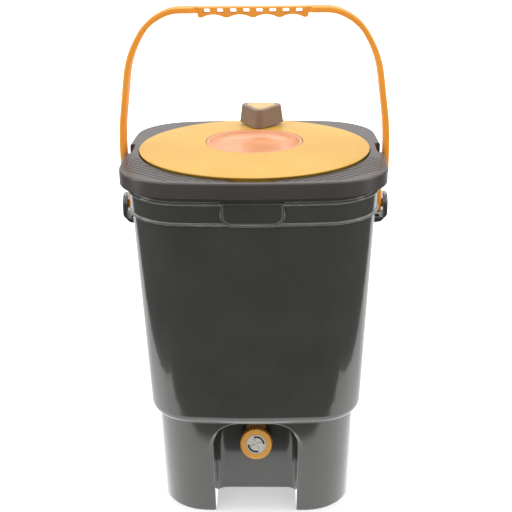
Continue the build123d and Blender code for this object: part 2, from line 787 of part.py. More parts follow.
with BuildPart() as knob_hollow:
    with BuildSketch(knob_place.offset(knob_plane)) as low:
        knob_outline(low, 1, knob_wall)
    with BuildSketch(knob_place.offset(knob_top_plane - 2 * knob_wall)) as high:
        knob_outline(high, knob_top_share, knob_wall)
    loft(ruled=True)
    with BuildSketch(knob_place.offset(knob_plane)):
        Circle(knob_boss_radius)
    extrude(amount=knob_height, mode=Mode.SUBTRACT)

with BuildPart() as knob_body:
    with BuildSketch(knob_place.offset(knob_plane)) as low:
        knob_outline(low, 1, 0)
    with BuildSketch(knob_place.offset(knob_top_plane)) as high:
        knob_outline(high, knob_top_share, 0)
    loft(ruled=True)
    fillet(knob_body.faces().sort_by(Axis.Z)[-1].edges(), knob_edge_round)
    add(knob_hollow.part, mode=Mode.SUBTRACT)
    with BuildSketch(knob_place.offset(knob_top_plane + inlay_stand - inlay_thickness)) as recess:
        knob_outline(recess, inlay_share, -fit_gap / 2)
    extrude(amount=inlay_thickness + overrun, mode=Mode.SUBTRACT)
    with BuildSketch(knob_place.offset(knob_plane - overrun)):
        Circle(screw_radius + running_gap)
    extrude(amount=screw_reach + overrun, mode=Mode.SUBTRACT)
knob_body.part.label = "knob_body"
export_step(knob_body.part, "parts/knob_body.step")

with BuildPart() as knob_inlay:
    with BuildSketch(knob_place.offset(knob_top_plane + inlay_stand - inlay_thickness)) as plan:
        knob_outline(plan, inlay_share, fit_gap / 2)
    extrude(amount=inlay_thickness)
    fillet(knob_inlay.faces().sort_by(Axis.Z)[-1].edges(), inlay_stand / 2)
knob_inlay.part.label = "knob_inlay"
export_step(knob_inlay.part, "parts/knob_inlay.step")

with BuildPart() as knob_washer:
    with BuildSketch(knob_place.offset(screw_head_plane)):
        Circle(washer_radius)
        Circle(screw_radius + fit_gap, mode=Mode.SUBTRACT)
    extrude(amount=washer_thickness)
knob_washer.part.label = "knob_washer"
export_step(knob_washer.part, "parts/knob_washer.step")

with BuildPart() as knob_screw:
    with BuildSketch(knob_place.offset(screw_head_plane - screw_head_height)):
        Circle(screw_head_radius)
    extrude(amount=screw_head_height)
    fillet(knob_screw.faces().sort_by(Axis.Z)[0].edges(), screw_head_round)
    with BuildSketch(knob_place.offset(screw_head_plane)):
        Circle(screw_radius)
    extrude(amount=screw_reach)
    with BuildSketch(knob_place.offset(screw_head_plane - screw_head_height)):
        Rectangle(2 * screw_head_radius, screw_slot_width)
    extrude(amount=screw_slot_depth, mode=Mode.SUBTRACT)
knob_screw.part.label = "knob_screw"
export_step(knob_screw.part, "parts/knob_screw.step")

# Bail: a strap swept along its centre line, with a hub and a stud at each end
bail_centre_top = bail_top_height - bail_thickness / 2
right_arm = ((bail_hub_reach, pivot_height),
             (bail_hub_reach, pivot_height + bail_jog_low),
             (bail_arm_reach, pivot_height + bail_jog_high),
             (bail_arm_reach, pivot_height + bail_lean_rise),
             (bail_arm_reach - bail_shoulder_inset, bail_centre_top - bail_shoulder_drop),
             (bail_arm_reach - bail_bend_inset, bail_centre_top - bail_bend_drop),
             (bail_arm_reach - bail_top_inset, bail_centre_top))
bend_radii = (bail_jog_radius, bail_jog_radius, bail_lean_radius, bail_shoulder_radius,
              bail_bend_radius, bail_top_radius)
grip_low = bail_top_height - grip_height
tooth_low = grip_low - tooth_drop
strap_low = bail_top_height - bail_thickness

with BuildPart() as grip_waist:
    with BuildSketch(Plane.XY.offset(tooth_low - overrun)) as plan:
        with Locations((0, grip_depth / 2), (0, -grip_depth / 2 - bail_depth)):
            Rectangle(2 * grip_half_length, bail_depth, align=(Align.CENTER, Align.MIN))
        fillet(plan.vertices().group_by(Axis.Y)[1], grip_waist_corner)
        fillet(plan.vertices().group_by(Axis.Y)[-2], grip_waist_corner)
    extrude(amount=grip_height + tooth_drop + 2 * overrun)

grip_core_half = grip_half_length - grip_waist_corner
tooth_low_ends = []
for index in range(tooth_count):
    tooth_middle = (index - (tooth_count - 1) / 2) * tooth_pitch
    tooth_low_ends.append((tooth_middle - tooth_width / 2, tooth_middle + tooth_width / 2))

with BuildPart() as grip:
    with BuildSketch(Plane.XZ.offset(-grip_depth / 2)) as front:
        with BuildLine():
            Polyline((tooth_low_ends[0][0], tooth_low),
                     (-grip_core_half, strap_low),
                     (-grip_core_half, bail_top_height),
                     (grip_core_half, bail_top_height),
                     (grip_core_half, strap_low),
                     (tooth_low_ends[-1][1], tooth_low))
            for left, right in tooth_low_ends:
                Line((left, tooth_low), (right, tooth_low))
            for near, far in zip(tooth_low_ends, tooth_low_ends[1:]):
                ThreePointArc((near[1], tooth_low), ((near[1] + far[0]) / 2, grip_low),
                              (far[0], tooth_low))
        make_face()
        fillet(front.vertices().filter_by_position(Axis.Y, tooth_low, tooth_low), tooth_round)
    extrude(amount=grip_depth)
    fillet(grip.faces().sort_by(Axis.Y)[0].edges() + grip.faces().sort_by(Axis.Y)[-1].edges(),
           grip_edge_round)
    with BuildSketch(Plane.XZ.offset(-grip_depth)) as windows:
        with Locations((0, bail_top_height - window_rail - window_height / 2)):
            with GridLocations(window_pitch, window_height, window_count, 1):
                RectangleRounded(window_width, window_height, window_round)
    extrude(amount=2 * grip_depth, mode=Mode.SUBTRACT)

with BuildPart() as hub:
    with BuildSketch(Plane.YZ.offset(bail_hub_reach - bail_thickness / 2)):
        with Locations((0, pivot_height)):
            Circle(bail_depth / 2)
    extrude(amount=bail_thickness)
    fillet(hub.edges().filter_by(GeomType.CIRCLE), bail_edge_round)
    with BuildSketch(Plane.YZ.offset(bail_hub_reach)):
        with Locations((0, pivot_height)):
            Circle(stud_radius)
    extrude(amount=ear_plate_outer - fit_gap - bail_hub_reach)
    chamfer(hub.faces().sort_by(Axis.X)[-1].edges(), stud_chamfer)

with BuildPart() as bail_handle:
    with BuildLine() as centre_line:
        FilletPolyline(*[Plane.XZ.from_local_coords((x, z)) for x, z in right_arm],
                       *[Plane.XZ.from_local_coords((-x, z)) for x, z in right_arm[::-1]],
                       radius=bend_radii + bend_radii[::-1])
    with BuildSketch(Plane.XY.offset(pivot_height)) as section:
        with Locations((bail_hub_reach, 0)):
            RectangleRounded(bail_thickness, bail_depth, bail_edge_round)
    sweep()
    add(grip_waist.part, mode=Mode.SUBTRACT)
    with Locations((0, 0, bail_top_height + overrun)):
        Box(2 * (grip_core_half - grip_edge_round), bail_depth, grip_height + tooth_drop + 2 * overrun,
            align=(Align.CENTER, Align.CENTER, Align.MAX), mode=Mode.SUBTRACT)
    add(grip.part)
    add(hub.part)
    add(mirror(hub.part, about=Plane.YZ, mode=Mode.PRIVATE))
bail_handle.part.label = "bail_handle"
export_step(bail_handle.part, "parts/bail_handle.step")

# Tap: body with a flange and shank through the niche wall, a housing and a spout
with BuildPart() as tap_body:
    with BuildSketch(tap_axis.offset(tap_flange_reach - tap_shank_length)):
        Circle(tap_shank_radius)
    extrude(amount=tap_shank_length)
    with BuildSketch(tap_axis.offset(tap_flange_reach)):
        Circle(tap_flange_radius)
    extrude(amount=tap_flange_thickness)
    with BuildSketch(tap_axis.offset(housing_back_reach)) as block:
        with Locations((0, housing_rise)):
            Rectangle(2 * housing_half_width, housing_rise + housing_drop,
                      align=(Align.CENTER, Align.MAX))
        fillet(block.vertices(), housing_corner)
    extrude(amount=housing_depth)
    fillet(tap_body.faces().sort_by(tap_along)[-1].edges(), housing_edge_round)
    with BuildSketch(spout_place):
        Circle(spout_radius)
    extrude(amount=spout_length)
    with BuildSketch(spout_place):
        Circle(spout_bore)
    extrude(amount=spout_length + overrun, mode=Mode.SUBTRACT)
    with BuildSketch(tap_axis.offset(tap_flange_reach - tap_shank_length - overrun)):
        Circle(tap_bore_radius)
    extrude(amount=housing_front_reach - tap_flange_reach + tap_shank_length + 2 * overrun,
            mode=Mode.SUBTRACT)
tap_body.part.label = "tap_body"
export_step(tap_body.part, "parts/tap_body.step")

with BuildPart() as tap_washer:
    with BuildSketch(tap_axis):
        Circle(tap_washer_radius)
        Circle(tap_shank_radius + fit_gap, mode=Mode.SUBTRACT)
    extrude(amount=tap_washer_thickness)
tap_washer.part.label = "tap_washer"
export_step(tap_washer.part, "parts/tap_washer.step")

with BuildPart() as tap_lock_nut:
    with BuildSketch(tap_axis.offset(-niche_wall - nut_thickness)):
        RegularPolygon(nut_across_flats / 2, nut_side_count, major_radius=False)
        Circle(tap_shank_radius + running_gap, mode=Mode.SUBTRACT)
    extrude(amount=nut_thickness)
tap_lock_nut.part.label = "tap_lock_nut"
export_step(tap_lock_nut.part, "parts/tap_lock_nut.step")

# Tap: spindle with a side port, and the two sealing rings round it
spindle_radius = tap_bore_radius - running_gap
seal_reaches = (tap_port_reach - spindle_port_radius - o_ring_offset,
                tap_port_reach + spindle_port_radius + o_ring_offset)
seal_centre_radius = tap_bore_radius - running_gap - o_ring_thickness / 2
with BuildPart() as tap_spindle:
    with BuildSketch(tap_axis.offset(tap_flange_reach)):
        Circle(spindle_radius)
    extrude(amount=housing_front_reach - tap_flange_reach)
    with BuildSketch(tap_axis.offset(housing_front_reach)) as stem:
        Circle(ring_stem_radius)
        with Locations((0, ring_stem_radius - ring_stem_flat)):
            Rectangle(2 * ring_stem_radius, ring_stem_radius, align=(Align.CENTER, Align.MIN),
                      mode=Mode.SUBTRACT)
    extrude(amount=insert_reach - fit_gap - housing_front_reach)
    for reach in seal_reaches:
        with BuildSketch(tap_axis.offset(reach - (o_ring_thickness + o_ring_room) / 2)):
            Circle(tap_bore_radius)
            Circle(seal_centre_radius - o_ring_thickness / 2 - running_gap, mode=Mode.SUBTRACT)
        extrude(amount=o_ring_thickness + o_ring_room, mode=Mode.SUBTRACT)
    with BuildSketch(tap_axis.offset(tap_flange_reach - overrun)):
        Circle(spindle_port_radius)
    extrude(amount=tap_port_reach + overrun - tap_flange_reach, mode=Mode.SUBTRACT)
    with BuildSketch(spout_place):
        Circle(spindle_port_radius)
    extrude(amount=tap_bore_radius, mode=Mode.SUBTRACT)
tap_spindle.part.label = "tap_spindle"
export_step(tap_spindle.part, "parts/tap_spindle.step")

with BuildPart() as tap_o_rings:
    for reach in seal_reaches:
        with Locations(tap_axis.offset(reach)):
            Torus(seal_centre_radius, o_ring_thickness / 2)
tap_o_rings.part.label = "tap_o_rings"
export_step(tap_o_rings.part, "parts/tap_o_rings.step")

# Tap: the fluted ring that is turned by hand, its pale insert and the two arrows
with BuildPart() as tap_ring:
    with BuildSketch(tap_axis.offset(ring_back_reach)):
        Circle(ring_radius)
    extrude(amount=ring_depth)
    fillet(tap_ring.faces().sort_by(tap_along)[-1].edges(), ring_edge_round)
    with BuildSketch(tap_axis.offset(ring_back_reach - overrun)):
        with PolarLocations(ring_radius, ring_flute_count):
            Circle(ring_flute_radius)
    extrude(amount=ring_depth + 2 * overrun, mode=Mode.SUBTRACT)
    with BuildSketch(tap_axis.offset(insert_reach)):
        Circle(ring_radius - ring_face_wall)
    extrude(amount=ring_face_depth + overrun, mode=Mode.SUBTRACT)
    with BuildSketch(tap_axis.offset(ring_back_reach - overrun)):
        Circle(ring_radius - ring_rim_wall)
        Circle(ring_stem_radius + ring_hub_wall, mode=Mode.SUBTRACT)
    extrude(amount=ring_depth - ring_face_depth - ring_web + overrun, mode=Mode.SUBTRACT)
    with BuildSketch(tap_axis.offset(ring_back_reach - overrun)):
        Circle(ring_stem_radius + running_gap)
        with Locations((0, ring_stem_radius + running_gap - ring_stem_flat)):
            Rectangle(2 * ring_radius, ring_radius, align=(Align.CENTER, Align.MIN),
                      mode=Mode.SUBTRACT)
    extrude(amount=ring_depth + 2 * overrun, mode=Mode.SUBTRACT)
tap_ring.part.label = "tap_ring"
export_step(tap_ring.part, "parts/tap_ring.step")

insert_radius = ring_radius - ring_face_wall - fit_gap
insert_face_reach = insert_reach + insert_thickness
with BuildPart() as tap_insert:
    with BuildSketch(tap_axis.offset(insert_reach)):
        Circle(insert_radius)
    extrude(amount=insert_thickness)
    with BuildSketch(tap_axis.offset(insert_face_reach)):
        Circle(insert_radius)
        Circle(insert_radius - insert_rim, mode=Mode.SUBTRACT)
    extrude(amount=insert_rim_stand)
    with BuildSketch(tap_axis.offset(insert_face_reach)):
        Rectangle(2 * cross_reach, cross_width, rotation=cross_angle)
        Rectangle(cross_width, 2 * cross_reach, rotation=cross_angle)
    extrude(amount=cross_stand, taper=cross_taper)
tap_insert.part.label = "tap_insert"
export_step(tap_insert.part, "parts/tap_insert.step")

def polar(radius, turn):
    """Point at a radius and a turn in degrees."""
    return (radius * cos(radians(turn)), radius * sin(radians(turn)))


arrow_inner = arrow_radius - arrow_width / 2
arrow_outer = arrow_radius + arrow_width / 2
with BuildPart() as tap_arrows:
    with BuildSketch(tap_axis.offset(insert_face_reach)):
        for start in (arrow_start, arrow_start + half_turn):
            tail = start + arrow_sweep
            tip = start - degrees(arrow_head_length / arrow_radius)
            with BuildLine():
                ThreePointArc(polar(arrow_inner, start), polar(arrow_inner, (start + tail) / 2),
                              polar(arrow_inner, tail))
                Line(polar(arrow_inner, tail), polar(arrow_outer, tail))
                ThreePointArc(polar(arrow_outer, tail), polar(arrow_outer, (start + tail) / 2),
                              polar(arrow_outer, start))
                Polyline(polar(arrow_outer, start),
                         polar(arrow_radius + arrow_head_width / 2, start),
                         polar(arrow_radius, tip),
                         polar(arrow_radius - arrow_head_width / 2, start),
                         polar(arrow_inner, start))
            make_face()
    extrude(amount=arrow_thickness)
tap_arrows.part.label = "tap_arrows"
export_step(tap_arrows.part, "parts/tap_arrows.step")
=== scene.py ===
"""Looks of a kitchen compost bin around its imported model: plastics, camera, light and floor.

The bin stands on the floor at z = 0 and its tap faces -Y. All lengths are in metres, except
where a name ends in mm.
"""

import math

import bpy
from mathutils import Matrix, Vector


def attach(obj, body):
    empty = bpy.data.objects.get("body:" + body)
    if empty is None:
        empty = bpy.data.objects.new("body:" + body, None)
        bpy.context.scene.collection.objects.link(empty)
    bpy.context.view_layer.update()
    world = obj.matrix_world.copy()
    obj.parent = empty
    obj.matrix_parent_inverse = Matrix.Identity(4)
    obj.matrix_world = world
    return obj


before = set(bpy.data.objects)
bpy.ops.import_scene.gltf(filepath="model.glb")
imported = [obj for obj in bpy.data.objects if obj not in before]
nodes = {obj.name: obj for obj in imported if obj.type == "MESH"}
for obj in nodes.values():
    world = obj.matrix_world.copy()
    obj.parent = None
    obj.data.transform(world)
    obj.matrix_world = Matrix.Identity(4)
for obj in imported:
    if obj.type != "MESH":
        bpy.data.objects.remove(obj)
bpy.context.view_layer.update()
scene = bpy.context.scene
scene.view_settings.view_transform = "Standard"
MM = 0.001
WHITE = "#FFFFFF"

# Camera: fitted to the outlines of the lid, the hatch, the step and the foot, in radians and
# metres. The outlines fix the focal length only weakly.
CAMERA_PITCH = 0.3668
CAMERA_ROLL = 0.0104
CAMERA_YAW = -0.0210
CAMERA_REACH = 1.1638
CAMERA_TARGET = (0.0005, 0.0, 0.2887)
FOCAL_PIXELS = 950.0
PHOTO_PIXELS = 512.0
SENSOR_WIDTH_MM = 36.0
NEAREST_SEEN = 0.02
FARTHEST_SEEN = 30.0


def place_camera():
    """Stand the camera where the photograph was taken, with its slight roll."""
    level_reach = math.cos(CAMERA_PITCH)
    forward = Vector((math.sin(CAMERA_YAW) * level_reach, math.cos(CAMERA_YAW) * level_reach,
                      -math.sin(CAMERA_PITCH)))
    level = Vector((math.cos(CAMERA_YAW), -math.sin(CAMERA_YAW), 0.0))
    upright = level.cross(forward)
    right = level * math.cos(CAMERA_ROLL) - upright * math.sin(CAMERA_ROLL)
    up = level * math.sin(CAMERA_ROLL) + upright * math.cos(CAMERA_ROLL)
    place = Vector(CAMERA_TARGET) - forward * CAMERA_REACH
    lens = bpy.data.cameras.new("product_view")
    lens.sensor_width = SENSOR_WIDTH_MM
    lens.lens = FOCAL_PIXELS / PHOTO_PIXELS * SENSOR_WIDTH_MM
    lens.clip_start = NEAREST_SEEN
    lens.clip_end = FARTHEST_SEEN
    camera = bpy.data.objects.new("product_view", lens)
    scene.collection.objects.link(camera)
    camera.matrix_world = Matrix((
        (right.x, up.x, -forward.x, place.x),
        (right.y, up.y, -forward.y, place.y),
        (right.z, up.z, -forward.z, place.z),
        (0.0, 0.0, 0.0, 1.0)))
    scene.camera = camera


# Node helpers
def linear(hex_colour):
    """Linear colour with alpha from an sRGB hex value."""
    parts = [int(hex_colour[i:i + 2], 16) / 255.0 for i in (1, 3, 5)]
    return tuple(c / 12.92 if c <= 0.04045 else ((c + 0.055) / 1.055) ** 2.4
                 for c in parts) + (1.0,)


def add_node(tree, kind, settings=None, links=None):
    """Add a node, set its properties or sockets by name, and link its inputs."""
    node = tree.nodes.new(kind)
    for name, value in (settings or {}).items():
        if hasattr(node, name):
            setattr(node, name, value)
        else:
            node.inputs[name].default_value = value
    for name, source in (links or {}).items():
        tree.links.new(source, node.inputs[name])
    return node


def add_math(tree, operation, first, second=0.0):
    """Add a math node on two sockets or numbers and give its result."""
    node = add_node(tree, "ShaderNodeMath", {"operation": operation})
    for index, value in enumerate((first, second)):
        if isinstance(value, (int, float)):
            node.inputs[index].default_value = value
        else:
            tree.links.new(value, node.inputs[index])
    return node.outputs["Value"]


def map_range(tree, value, source, result):
    """Map a socket from one range of numbers onto another and give the result."""
    node = add_node(tree, "ShaderNodeMapRange",
                    {"From Min": source[0], "From Max": source[1],
                     "To Min": result[0], "To Max": result[1]},
                    {"Value": value})
    return node.outputs["Result"]


def add_noise(tree, place, width_mm, detail, roughness):
    """Noise in the piece's own coordinates, with patches about width_mm across."""
    node = add_node(tree, "ShaderNodeTexNoise",
                    {"Scale": 1.0 / (width_mm * MM), "Detail": detail, "Roughness": roughness},
                    {"Vector": place.outputs["Object"]})
    return node.outputs["Fac"]


# A Mix node repeats its socket names for each data type, so its colour sockets go by number
MIX_UNDER, MIX_OVER, MIX_RESULT = 6, 7, 2


def lay_colour(tree, share, under, hex_colour):
    """Lay one fixed colour over a colour socket by a share and give the result."""
    mix = add_node(tree, "ShaderNodeMix", {"data_type": "RGBA"})
    tree.links.new(share, mix.inputs["Factor"])
    tree.links.new(under, mix.inputs[MIX_UNDER])
    mix.inputs[MIX_OVER].default_value = linear(hex_colour)
    return mix.outputs[MIX_RESULT]


def blend_shaders(tree, share, first, second):
    """Blend two shaders by a share and give the result."""
    mix = add_node(tree, "ShaderNodeMixShader", {}, {"Fac": share})
    tree.links.new(first, mix.inputs[1])
    tree.links.new(second, mix.inputs[2])
    return mix.outputs[0]


def new_finish(name):
    """New material with its node tree."""
    finish = bpy.data.materials.new(name)
    finish.use_nodes = True
    return finish, finish.node_tree


# What all the plastics share. A window is the part of a noise, which seldom leaves the middle
# of its range, that is spread over the whole change it drives.
COAT_ROUGHNESS = 0.05
MOTTLE_MM = 60.0
DRIFT_WINDOW = (0.32, 0.68)
SMEAR_MM = 14.0
GLOSS_WINDOW = (0.3, 0.7)
BEVEL_SAMPLES = 6
# Cosine between the bevelled and the true normal where the painted edge highlight starts and ends
EDGE_TURN = (0.97, 0.82)
# Colour of the painted highlight laid along edges
PAINTED_HIGHLIGHT_COLOUR = "#C8C6C1"
SCUFF_HEIGHT = 0.05
SCUFF_MARK_MM = 3.0
SCUFF_WINDOW = (0.52, 0.72)
DUST_COLOUR = "#8C8A86"


def moulded_plastic(name, colour, shade, roughness, spread, grain_mm, grain_height_mm,
                    ior=1.49, scuff=0.0, coat=0.0, edge_mm=0.5, painted_edge_highlight=0.0):
    """Injection-moulded plastic: slow colour drift, a grained skin and a gloss that varies.

    colour and shade are the two ends of the drift, and spread is how far the roughness wanders.
    grain_mm is the width of one grain, and edge_mm the round of a moulded edge. The last argument
    sets the strength of a painted highlight, a pale colour laid along the edges, and scuff how
    much pale wear marks the lowest 50 mm.

    The grains are 0.4 to 0.9 mm wide, coarser than a real tool's grain, so that they show.
    """
    finish, tree = new_finish(name)
    shader = tree.nodes["Principled BSDF"]
    shader.inputs["IOR"].default_value = ior
    if coat:
        shader.inputs["Coat Weight"].default_value = coat
        shader.inputs["Coat Roughness"].default_value = COAT_ROUGHNESS
    place = add_node(tree, "ShaderNodeTexCoord")
    drift = add_noise(tree, place, MOTTLE_MM, 3.0, 0.5)
    tint = add_node(tree, "ShaderNodeValToRGB", {}, {"Fac": drift})
    for index, end in enumerate((shade, colour)):
        tint.color_ramp.elements[index].position = DRIFT_WINDOW[index]
        tint.color_ramp.elements[index].color = linear(end)
    skin = add_noise(tree, place, grain_mm, 2.0, 0.55)
    smear = add_noise(tree, place, SMEAR_MM, 4.0, 0.6)
    gloss = map_range(tree, smear, GLOSS_WINDOW, (roughness - spread, roughness + spread))
    tree.links.new(gloss, shader.inputs["Roughness"])
    rounded = add_node(tree, "ShaderNodeBevel",
                       {"samples": BEVEL_SAMPLES, "Radius": edge_mm * MM})
    relief = add_node(tree, "ShaderNodeBump",
                      {"Strength": 1.0, "Distance": grain_height_mm * MM},
                      {"Height": skin, "Normal": rounded.outputs["Normal"]})
    tree.links.new(relief.outputs["Normal"], shader.inputs["Normal"])
    base = tint.outputs["Color"]
    if painted_edge_highlight:
        # A painted pale line, which stands in for the narrow highlights of the photo's edges
        outward = add_node(tree, "ShaderNodeNewGeometry")
        turn = add_node(tree, "ShaderNodeVectorMath", {"operation": "DOT_PRODUCT"})
        tree.links.new(rounded.outputs["Normal"], turn.inputs[0])
        tree.links.new(outward.outputs["Normal"], turn.inputs[1])
        pale = map_range(tree, turn.outputs["Value"], EDGE_TURN, (0.0, painted_edge_highlight))
        base = lay_colour(tree, pale, base, PAINTED_HIGHLIGHT_COLOUR)
    if scuff:
        height = add_node(tree, "ShaderNodeSeparateXYZ", {}, {"Vector": place.outputs["Object"]})
        low = map_range(tree, height.outputs["Z"], (0.0, SCUFF_HEIGHT), (1.0, 0.0))
        marks = add_noise(tree, place, SCUFF_MARK_MM, 6.0, 0.75)
        worn = map_range(tree, marks, SCUFF_WINDOW, (0.0, scuff))
        base = lay_colour(tree, add_math(tree, "MULTIPLY", low, worn), base, DUST_COLOUR)
    tree.links.new(base, shader.inputs["Base Color"])
    return finish


# Polypropylene moulded against a polished tool: near-black, with pale streaks down its corners,
# and a painted highlight, a pale colour, along its edges
bucket_pp = moulded_plastic("polypropylene_polished_moulding", "#41413D", "#3B3B38", 0.2, 0.03,
                            0.9, 0.001, scuff=0.2, coat=1.0, edge_mm=2.4, painted_edge_highlight=0.85)
# The same moulding at the pull's bead, whose painted highlight is a pale line round a dark plate
bead_pp = moulded_plastic("polypropylene_polished_bead", "#41413D", "#3B3B38", 0.2, 0.03,
                          0.9, 0.001, coat=1.0, edge_mm=2.0, painted_edge_highlight=1.0)
# Polypropylene with a spark-eroded grain: warmer and dull, so light spreads over the lid's top
lid_pp = moulded_plastic("polypropylene_grained_moulding", "#4C4643", "#443E3B", 0.34, 0.04,
                         0.7, 0.01, ior=1.55, edge_mm=1.0)
# Polypropylene from a plain tool: flat dark grey with no highlight inside the bin
grate_pp = moulded_plastic("polypropylene_plain_moulding", "#3A3936", "#333230", 0.5, 0.05,
                           0.8, 0.02)
# Amber polypropylene of the hatch: a warm yellow, its slightly waxy gloss drifts over the dome
hatch_pp = moulded_plastic("amber_polypropylene_moulding", "#DFB043", "#DBA93B", 0.36, 0.04,
                           0.8, 0.002, ior=1.42)
# Amber polypropylene of the bail: a deeper orange and dull, which holds its colour best face on
bail_pp = moulded_plastic("amber_polypropylene_bail", "#FBA638", "#F49C2E", 0.42, 0.04,
                          0.7, 0.003, ior=1.4)
# Peach polypropylene, glossy: a soft bright ring where the bowl's floor turns up into its wall
dish_pp = moulded_plastic("peach_polypropylene_moulding", "#E9A678", "#E39D6E", 0.22, 0.03,
                          0.9, 0.003)
# Taupe ABS with a fine grain: a dry brown that shades evenly round the knob's lobes
knob_abs = moulded_plastic("taupe_abs_moulding", "#8C7866", "#84705F", 0.4, 0.04, 0.6, 0.012)
# Cream ABS, fine-grained: the palest place of the lid, with no hard highlight
inlay_abs = moulded_plastic("cream_abs_inlay", "#D9B97B", "#D3B274", 0.38, 0.03, 0.6, 0.008)
# Amber polypropylene, satin, darkened to a brown-amber as painted shade: the tap's housing stays
# dark honey in the niche's shade
tap_pp = moulded_plastic("amber_polypropylene_tap_painted_shade", "#8A5A22", "#7E511E", 0.3, 0.04,
                         0.6, 0.006)
# Amber polypropylene, satin: the brightest amber in the niche
ring_pp = moulded_plastic("amber_polypropylene_ring", "#FFBC58", "#F8B24E", 0.32, 0.04,
                          0.6, 0.006)
# Pale grey ABS, polished: a mirror-like face whose cross relief breaks the reflections
insert_abs = moulded_plastic("pale_grey_abs_insert", "#F0EEE6", "#E8E5DC", 0.1, 0.02,
                             0.6, 0.003, ior=1.7)
# Black thermoplastic rubber, moulded: almost no gloss, so the seals read as soft dark lines
seal_tpe = moulded_plastic("black_thermoplastic_seal", "#1D1D1C", "#171716", 0.6, 0.05,
                           0.5, 0.02)
# Black polyamide, moulded: a little lighter and glossier than the seals beside it
nut_pa = moulded_plastic("black_polyamide_nut", "#262624", "#1F1F1E", 0.45, 0.05, 0.5, 0.02)
# White acetal, turned: a milky, faintly waxy white
spindle_pom = moulded_plastic("white_acetal_spindle", "#D8D5CE", "#D1CEC6", 0.35, 0.04,
                              0.5, 0.006)
# Black ink, pad-printed: a flat black on the pale insert
arrow_print = moulded_plastic("black_pad_print", "#141413", "#0F0F0F", 0.5, 0.03, 0.4, 0.003)

STEEL_GRAIN_MM = 0.8
STEEL_COLOURS = ("#9C9EA1", "#B9BBBD")
STEEL_ROUGHNESS = (0.28, 0.42)


def plated_steel(name):
    """Zinc-plated steel, turned: pale metal whose gloss flickers with the grain.

    The grain is 0.8 mm wide, coarser than real turning marks, so that it shows.
    """
    finish, tree = new_finish(name)
    shader = tree.nodes["Principled BSDF"]
    shader.inputs["Metallic"].default_value = 1.0
    place = add_node(tree, "ShaderNodeTexCoord")
    turned = add_noise(tree, place, STEEL_GRAIN_MM, 3.0, 0.5)
    tint = add_node(tree, "ShaderNodeValToRGB", {}, {"Fac": turned})
    for index, end in enumerate(STEEL_COLOURS):
        tint.color_ramp.elements[index].color = linear(end)
    tree.links.new(tint.outputs["Color"], shader.inputs["Base Color"])
    gloss = map_range(tree, turned, (0.0, 1.0), STEEL_ROUGHNESS)
    tree.links.new(gloss, shader.inputs["Roughness"])
    return finish


screw_steel = plated_steel("zinc_plated_steel")

finishes = {
    "bucket": bucket_pp, "lid_frame": lid_pp, "drain_grate": grate_pp, "lid_gasket": seal_tpe,
    "hatch_gasket": seal_tpe, "hatch_disc": hatch_pp, "centre_dish": dish_pp,
    "knob_body": knob_abs, "knob_inlay": inlay_abs, "knob_screw": screw_steel,
    "knob_washer": screw_steel, "bail_handle": bail_pp, "tap_body": tap_pp,
    "tap_washer": seal_tpe, "tap_lock_nut": nut_pa, "tap_spindle": spindle_pom,
    "tap_o_rings": seal_tpe, "tap_ring": ring_pp, "tap_insert": insert_abs,
    "tap_arrows": arrow_print,
}
for name, finish in finishes.items():
    mesh = nodes[name].data
    mesh.materials.clear()
    mesh.materials.append(finish)


# Pull: a plate on the front of the collar, edged by a bead that dips from the upper ridge in a
# U. It covers the rib of the bucket's own solid, which has only two strips where the U belongs.
PULL_HALF_WIDTH = 33.8 * MM
PULL_LOW = 374.4 * MM
PULL_HIGH = 400.2 * MM
PULL_CORNER = 12.0 * MM
PULL_CORNER_SEGMENTS = 8
PULL_BEAD = 2.4 * MM
PULL_FRONT = -138.5 * MM
PULL_DEPTH = 3.5 * MM
PULL_RECESS = 1.8 * MM
PULL_EDGE = 0.8 * MM
PULL_EDGE_SEGMENTS = 3
PULL_SMOOTH_DEGREES = 40.0
FRONT_FACING = -0.9
SAME_PLACE = 0.1 * MM


def select_where(mesh, kind, wanted):
    """Select the faces or the edges of a mesh that pass a test, from edit mode."""
    bpy.ops.mesh.select_mode(type=kind)
    bpy.ops.mesh.select_all(action="DESELECT")
    bpy.ops.object.mode_set(mode="OBJECT")
    for part in (mesh.polygons if kind == "FACE" else mesh.edges):
        part.select = wanted(part)
    bpy.ops.object.mode_set(mode="EDIT")


